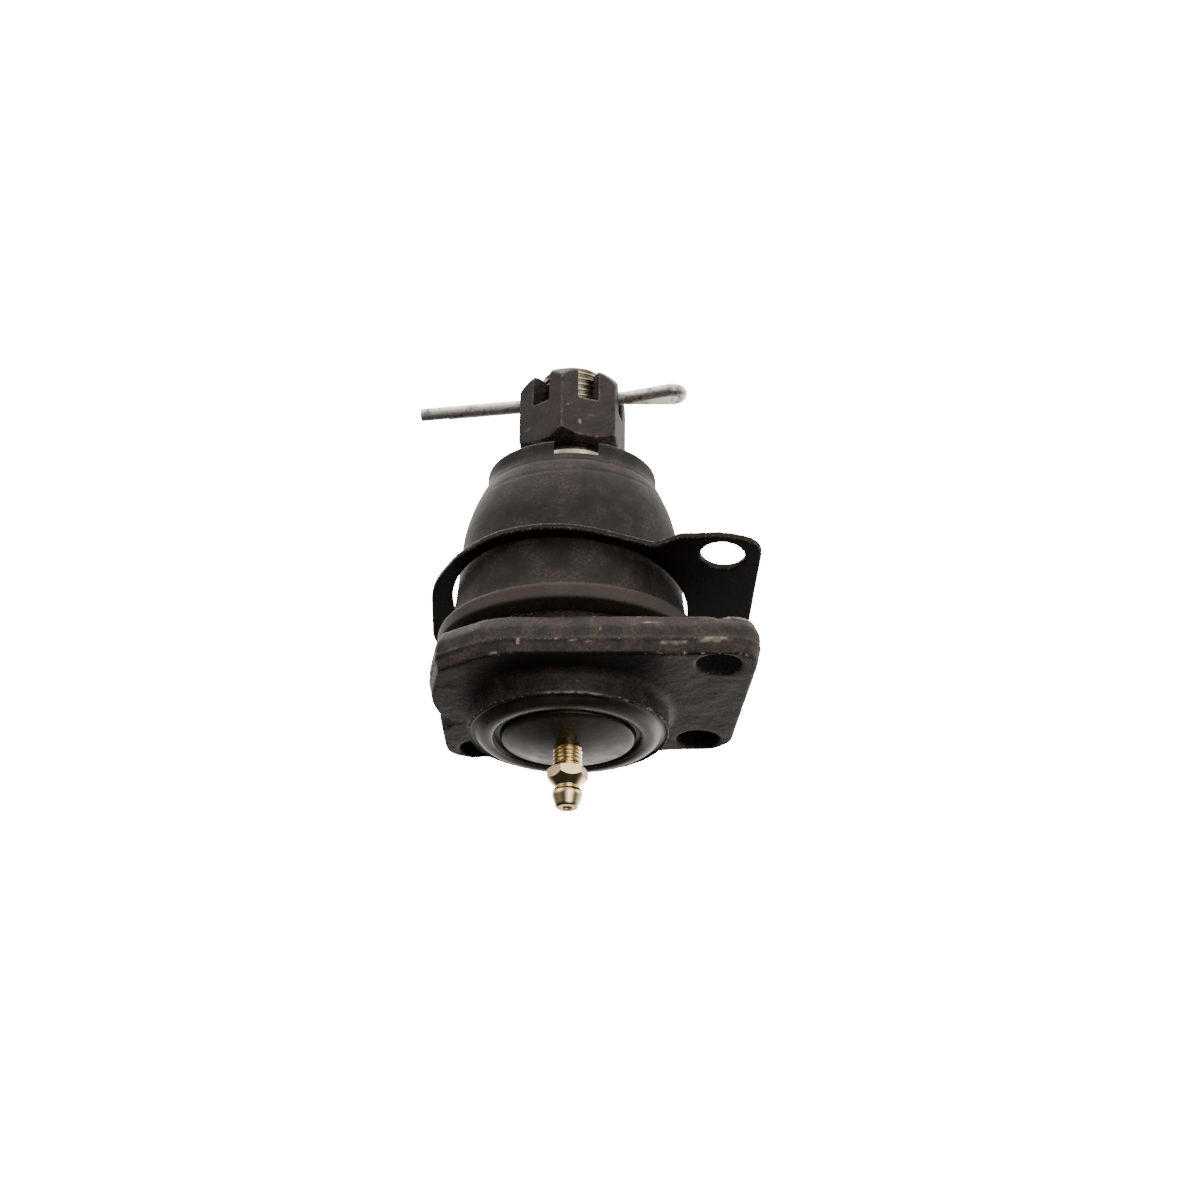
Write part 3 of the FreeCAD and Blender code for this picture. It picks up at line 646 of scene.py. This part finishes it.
nut = worked("castle_nut", "slotted_nut", 0.2 * MM, 14, crown_share)
NUT_SCRAPES = (((-0.9, -11.2, -66.5), 0.35, 0.6, 0.9), ((-3.4, -10.7, -68.6), 0.8, 0.25, 0.35),
               ((2.0, -11.2, -70.3), 0.25, 0.25, 0.45), ((10.7, -5.0, -67.0), 0.7, 0.3, 0.35))
mark(nut.data, "scrape", scraped(read_points(nut.data, "co"), NUT_SCRAPES))
black, tree, shader, place = new_finish("black_oxide_forged_nut")
# Forging scale in grains of 0.5 mm shows brown through the black, which varies over 3.5 mm.
patch = noise(tree, place, 3.5 * MM, 4)
scale = noise(tree, place, 0.5 * MM, 3)
coat = mixed(tree, ramp(tree, patch, 0.35, 0.7), NUT_BLACK, NUT_GREY)
coat = mixed(tree, ramp(tree, scale, 0.48, 0.75, 0.0, 0.6), coat, NUT_RUST)
rubbed = maths(tree, "MULTIPLY", ramp(tree, marked(tree, "edge"), 0.5),
               ramp(tree, scale, 0.45, 0.7, 0.12, 0.6))
# Knocks on the flats: a few pale scrapes of 1 mm, longer along the nut than across.
upright = add(tree, "Mapping", {"Vector": place, "Scale": (1, 1, 0.5)}).outputs[0]
knock = ramp(tree, noise(tree, upright, 2.4 * MM, 4, 0.75), 0.69, 0.76, 0.0, 0.7)
worn = maths(tree, "MAXIMUM", maths(tree, "MAXIMUM", rubbed, knock), marked(tree, "scrape"))
tree.links.new(mixed(tree, worn, coat, NUT_WORN), shader.inputs["Base Color"])
tree.links.new(ramp(tree, scale, low=0.4, high=0.62), shader.inputs["Roughness"])
shader.inputs["Specular IOR Level"].default_value = 0.33
tree.links.new(bump(tree, scale, 0.6, 0.07 * MM), shader.inputs["Normal"])
nut.data.materials.append(black)
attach(nut, "stud_body")
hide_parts("castle_nut")

# Cotter pin. Soft half-round steel wire folded into an eye, zinc plated and dull. Its packed
# solid has the right shape and stays.
ZINC_GREY, ZINC_PALE, ZINC_STAIN = "b4b1a8", "fbfaf6", "77736b"
galvanised, tree, shader, place = new_finish("dull_zinc_wire")
# Drawing lines run along the legs, about 0.3 mm apart, over cloudy plating.
along = add(tree, "Mapping", {"Vector": place, "Rotation": (0, 0, -PIN_TURN),
                              "Scale": (0.06, 1, 1)}).outputs[0]
lines = noise(tree, along, 0.3 * MM, 3)
cloud = noise(tree, place, 2 * MM, 4)
tree.links.new(mixed(tree, ramp(tree, cloud, 0.5, 0.68, 0.0, 0.8),
                     mixed(tree, lines, ZINC_GREY, ZINC_PALE), ZINC_STAIN),
               shader.inputs["Base Color"])
tree.links.new(ramp(tree, cloud, low=0.3, high=0.5), shader.inputs["Roughness"])
shader.inputs["Metallic"].default_value = 0.92
tree.links.new(bump(tree, lines, 0.3, 0.03 * MM), shader.inputs["Normal"])
finish_node("cotter_pin", galvanised)

# Boot. Moulded chloroprene rubber, 2.4 mm thick: a bell with a heavy base ring and a notched
# collar. It is in two pieces that meet at mid height.
RUBBER_DARK, RUBBER_GREY, RUBBER_DUST, RUBBER_RING = "090706", "1d1815", "463e38", "4a433d"
SEAM_Z, RING_TOP = -38.5, -18.6
LOWER_BEND, UPPER_BEND = (-26.0, SEAM_Z), (SEAM_Z, -50.5)
NOTCH_AT, NOTCH_SIZE = (0.3, -19, -57.4), (10, 12, 7)
lower_bell = [
    (24.21, SEAM_Z, 0), (24.6, -34.0, 2.5), (25.1, -28.0, 2.5), (25.5, -24.0, 2),
    (26.3, -19.5, 1.3), (26.9, -18.0, 0.7), (28.5, -17.45, 0.4), (29.2, -16.8, 0.5),
    (29.2, -13.5, 0.7), (21.75, -13.5, 0.4), (21.75, -17.0, 1), (22.4, -19.4, 1),
    (23.0, -23.6, 1.5), (22.7, -28.0, 2), (22.2, -34.0, 2), (21.8, SEAM_Z, 0)]
upper_bell = [
    (21.8, SEAM_Z, 0), (21.6, -40.8, 1), (20.8, -43.4, 1.2), (18.2, -49.6, 1), (16.6, -50.6, 0.5),
    (10.4, -51.0, 0.3), (11.1, -54.1, 0.3), (16.3, -54.6, 0.4), (16.3, -57.4, 0.9),
    (19.0, -57.4, 0.8), (19.0, -54.4, 0.8), (19.4, -53.0, 0.8), (20.6, -50.8, 1.2),
    (22.1, -47.4, 1.5), (23.2, -44.0, 1.4), (23.9, -41.0, 1.2), (24.21, SEAM_Z, 0)]


def rubber_radius(angle, r, z):
    """Moulded rubber's slight unevenness, with two shallow creases under the collar."""
    flat = around(angle, r, z)
    uneven = (0.07 * lumps(flat, 8, 11) + 0.025 * lumps(flat, 2.5, 12)).reshape(r.shape)
    calm = np.clip((-16.5 - z) / 2, 0, 1) * np.clip((r - 11.5) / 2, 0, 1)
    creased = (0.16 * np.exp(-((z + 52.1) / 0.28) ** 2)
               + 0.09 * np.exp(-((z + 48.5 + 0.3 * np.sin(2 * angle)) / 0.35) ** 2)) * (r > 18.8)
    return r + uneven * calm - creased


lower = turned("boot_lower_bell", spaced(rounded(lower_bell, True), 0.7, True), 240,
               rubber_radius, True, crease=60)
upper = turned("boot_upper_bell", spaced(rounded(upper_bell, True), 0.5, True), 240,
               rubber_radius, True, crease=60)
notch = bpy.data.meshes.new("notch_tool")
form = bmesh.new()
bmesh.ops.create_cube(form, size=1.0, matrix=Matrix.Translation(Vector(NOTCH_AT) * MM)
                      @ Matrix.Diagonal((*(side * MM for side in NOTCH_SIZE), 1)))
form.to_mesh(notch)
form.free()
cut(upper, placed("notch_tool", notch))
upper.data.shade_smooth()
upper.data.set_sharp_from_angle(angle=math.radians(50))
rubber, tree, shader, place = new_finish("moulded_chloroprene_rubber")
# Matte from the mould, with talc and shop dust in clouds of about 6 mm and a few bright
# specks; the bloom on old rubber greys what is seen at a low angle.
cloud = noise(tree, place, 6 * MM, 6, 0.62)
grain = noise(tree, place, 0.6 * MM, 3)
tone = mixed(tree, ramp(tree, cloud, 0.35, 0.65), RUBBER_DARK, RUBBER_GREY)
speck = maths(tree, "MULTIPLY", ramp(tree, grain, 0.42, 0.78), ramp(tree, cloud, 0.44, 0.62))
dusted = mixed(tree, speck, tone, RUBBER_DUST)
# The base ring is made greyer than the bell, fading in over 0.8 mm at its lower edge.
ring = ramp(tree, add(tree, "SeparateXYZ", {0: place}).outputs["Z"],
            RING_TOP * MM, (RING_TOP + 0.8) * MM, 0.0, 0.55)
tree.links.new(mixed(tree, ring, dusted, RUBBER_RING), shader.inputs["Base Color"])
tree.links.new(ramp(tree, grain, low=0.52, high=0.72), shader.inputs["Roughness"])
shader.inputs["Specular IOR Level"].default_value = 0.26
shader.inputs["Sheen Weight"].default_value = 0.04
shader.inputs["Sheen Roughness"].default_value = 0.5
tree.links.new(bump(tree, grain, 0.35, 0.05 * MM), shader.inputs["Normal"])
for piece, bodies, bend in ((lower, ("housing_body", "boot_body"), LOWER_BEND),
                            (upper, ("boot_body", "boot_neck_body"), UPPER_BEND)):
    piece.data.materials.clear()
    piece.data.materials.append(rubber)
    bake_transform(piece)
    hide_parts("boot")

# Neck ring. A turned steel hub, left bright, bonded into the boot's inner end round the
# stud's taper, where it shows in the notch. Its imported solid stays.
finish_node("boot_neck_ring", steel)

# Boot retainer plate. Stamped from 1.5 mm sheet and phosphated. The shear rounds one side of
# its edge and tears the other, which shines where it has rubbed in the box. Its ring is
# narrowest at the back, where ring_back keeps it whole.
SHEET_DARK, SHEET_BROWN, SHEET_WORN = "070504", "1a110b", "8d8378"
PLATE_AT, PLATE_TURNS = (-0.42, 1.11, -26.0), (("Z", 4.5), ("X", 9.6), ("Y", 3.6), ("Z", -6.7))
OPENING_AT, OPENING_R, RING_WIDE, PLATE_THICK = (0.4, -0.4), 26.2, 1.9, 1.5
RING_FROM, RING_TO, RING_STEPS = math.radians(66), math.radians(138), 49
arc = np.repeat(np.linspace(RING_FROM, RING_TO, RING_STEPS)[:, None], 4, axis=1)
reach = np.tile(OPENING_R + RING_WIDE * np.array((0, 0, 1, 1)), (RING_STEPS, 1))
rise = np.tile(PLATE_THICK * np.array((-0.5, 0.5, 0.5, -0.5)), (RING_STEPS, 1))
strip = around(arc, reach, rise) + (*OPENING_AT, 0)
ring_back = skinned("ring_back", strip.reshape(RING_STEPS, 4, 3))
place_it = Matrix.Translation(Vector(PLATE_AT) * MM)
for axis, degrees in PLATE_TURNS:
    place_it = place_it @ Matrix.Rotation(math.radians(degrees), 4, axis)
ring_back.transform(place_it)
plate = worked("boot_retainer_plate", "stamped_retainer", 0.24 * MM, 3, welded=ring_back)
stamped, tree, shader, place = new_finish("phosphated_stamped_sheet")
# The coat varies over 7 mm; its grains of 0.5 mm break up the rubbed edges.
cloud = noise(tree, place, 7 * MM, 5)
grain = noise(tree, place, 0.5 * MM, 3)
tone = mixed(tree, ramp(tree, cloud, 0.35, 0.7), SHEET_DARK, SHEET_BROWN)
worn = maths(tree, "MULTIPLY", ramp(tree, marked(tree, "edge"), 0.5),
             ramp(tree, grain, 0.55, 0.7, 0.05, 0.8))
tree.links.new(mixed(tree, worn, tone, SHEET_WORN), shader.inputs["Base Color"])
tree.links.new(ramp(tree, cloud, low=0.38, high=0.56), shader.inputs["Roughness"])
shader.inputs["Specular IOR Level"].default_value = 0.16
tree.links.new(bump(tree, grain, 0.25, 0.03 * MM), shader.inputs["Normal"])
plate.data.materials.append(stamped)
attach(plate, "retainer_body")
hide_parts("boot_retainer_plate")

# Floor. A white table, overexposed to the camera as in a catalogue picture. It lets all
# other light pass, because the soft boxes below stand for what it sends back. It lies low
# enough for the pin's legs to clear it when the stud tilts.
FLOOR_HALF, FLOOR_BELOW, SEEN_WHITE = 6.0, 16.0, 18.0
mesh = bpy.data.meshes.new("table")
mesh.from_pydata([(-FLOOR_HALF, -FLOOR_HALF, 0), (FLOOR_HALF, -FLOOR_HALF, 0),
                  (FLOOR_HALF, FLOOR_HALF, 0), (-FLOOR_HALF, FLOOR_HALF, 0)], [], [(0, 1, 2, 3)])
table = placed("table", mesh)
table.location.z = cad_low.z - FLOOR_BELOW * MM


def emptied(holder):
    """The node tree of a material or a world, with nothing in it."""
    holder.use_nodes = True
    holder.node_tree.nodes.clear()
    return holder.node_tree


white = bpy.data.materials.new("white_table")
tree = emptied(white)
seen = add(tree, "Emission", {"Color": (1.0, 0.99, 0.98, 1), "Strength": SEEN_WHITE})
# From underneath the table lets the camera through, so that the nut's end can be seen.
above = add(tree, "Math", {0: add(tree, "LightPath", {}).outputs["Is Camera Ray"],
                           1: add(tree, "NewGeometry", {}).outputs["Backfacing"]},
            operation="SUBTRACT", use_clamp=True).outputs[0]
surface = add(tree, "MixShader", {0: above,
                                  1: add(tree, "BsdfTransparent", {}).outputs[0],
                                  2: seen.outputs[0]})
add(tree, "OutputMaterial", {"Surface": surface.outputs[0]})
mesh.materials.append(white)

# Light. A dark studio over a bright table, lit by soft boxes. Each is a soft spot in the
# room: its height and heading in degrees (0 is the camera's side, 90 the picture's left)
# and its strength.
SOFT_BOXES = ((-58, 0, 3.0), (-58, 60, 2.3), (-58, 180, 13.2), (-58, 300, 1.6),
              (-26, 60, 1.9), (-26, 90, 0.7), (-26, 150, 1.8), (-26, 180, 1.4),
              (-26, 270, 2.8), (-26, 330, 1.4), (4, 165, 0.9), (4, 195, 1.7), (4, 225, 3.4),
              (4, 345, 3.6), (34, 225, 0.9))
SOFTNESS, ROOM_DARK, ROOM_SEEN = 14.0, 0.03, 18.0
world = bpy.data.worlds.new("soft_box_studio")
bpy.context.scene.world = world
tree = emptied(world)
ahead = add(tree, "TexCoord", {}).outputs["Generated"]
glow = ROOM_DARK
for height, heading, strength in SOFT_BOXES:
    up, side = math.radians(height), math.radians(heading)
    aim = (math.cos(up) * math.sin(side), -math.cos(up) * math.cos(side), math.sin(up))
    near = add(tree, "VectorMath", {0: ahead, 1: aim}, operation="DOT_PRODUCT").outputs["Value"]
    fall = add(tree, "Math", {0: near, 1: SOFTNESS, 2: -SOFTNESS}, operation="MULTIPLY_ADD")
    spot = add(tree, "Math", {0: fall.outputs[0]}, operation="EXPONENT").outputs[0]
    glow = add(tree, "Math", {0: spot, 1: strength, 2: glow}, operation="MULTIPLY_ADD").outputs[0]
first = add(tree, "LightPath", {}).outputs["Is Camera Ray"]
strength = add(tree, "Mix", {0: first, 2: glow, 3: ROOM_SEEN}).outputs[0]
air = add(tree, "Background", {"Color": (1.0, 0.945, 0.89, 1), "Strength": strength})
add(tree, "OutputWorld", {"Surface": air.outputs[0]})

# Camera. From 0.7 m, 26 degrees above the flange, upside down as in the picture, where the
# joint lies with its grease fitting towards the viewer. Its place is in mm.
LENS, SENSOR, CAMERA_AT, CAMERA_UP = 96.0, 36.0, (6.66642, -641.4097, -278.7472), 7.0
YAW, PITCH, ROLL = math.radians(4.5), math.radians(26), math.radians(0.6)
lens = bpy.data.cameras.new("camera")
lens.lens, lens.sensor_width = LENS, SENSOR
camera = placed("camera", lens)
flip = Matrix.Rotation(YAW, 3, "Z") @ Matrix.Diagonal((-1, 1, -1))
right = Vector((math.cos(ROLL), -math.sin(PITCH) * math.sin(ROLL),
                math.cos(PITCH) * math.sin(ROLL)))
ahead = Vector((0, math.cos(PITCH), math.sin(PITCH)))
x_axis, z_axis = flip @ right, -(flip @ ahead)
y_axis = z_axis.cross(x_axis)
position = flip @ Vector(CAMERA_AT) + Vector((0, 0, CAMERA_UP))
camera.matrix_world = Matrix.Translation(position * MM) @ Matrix(
    (x_axis, y_axis, z_axis)).transposed().to_4x4()
bpy.context.scene.camera = camera
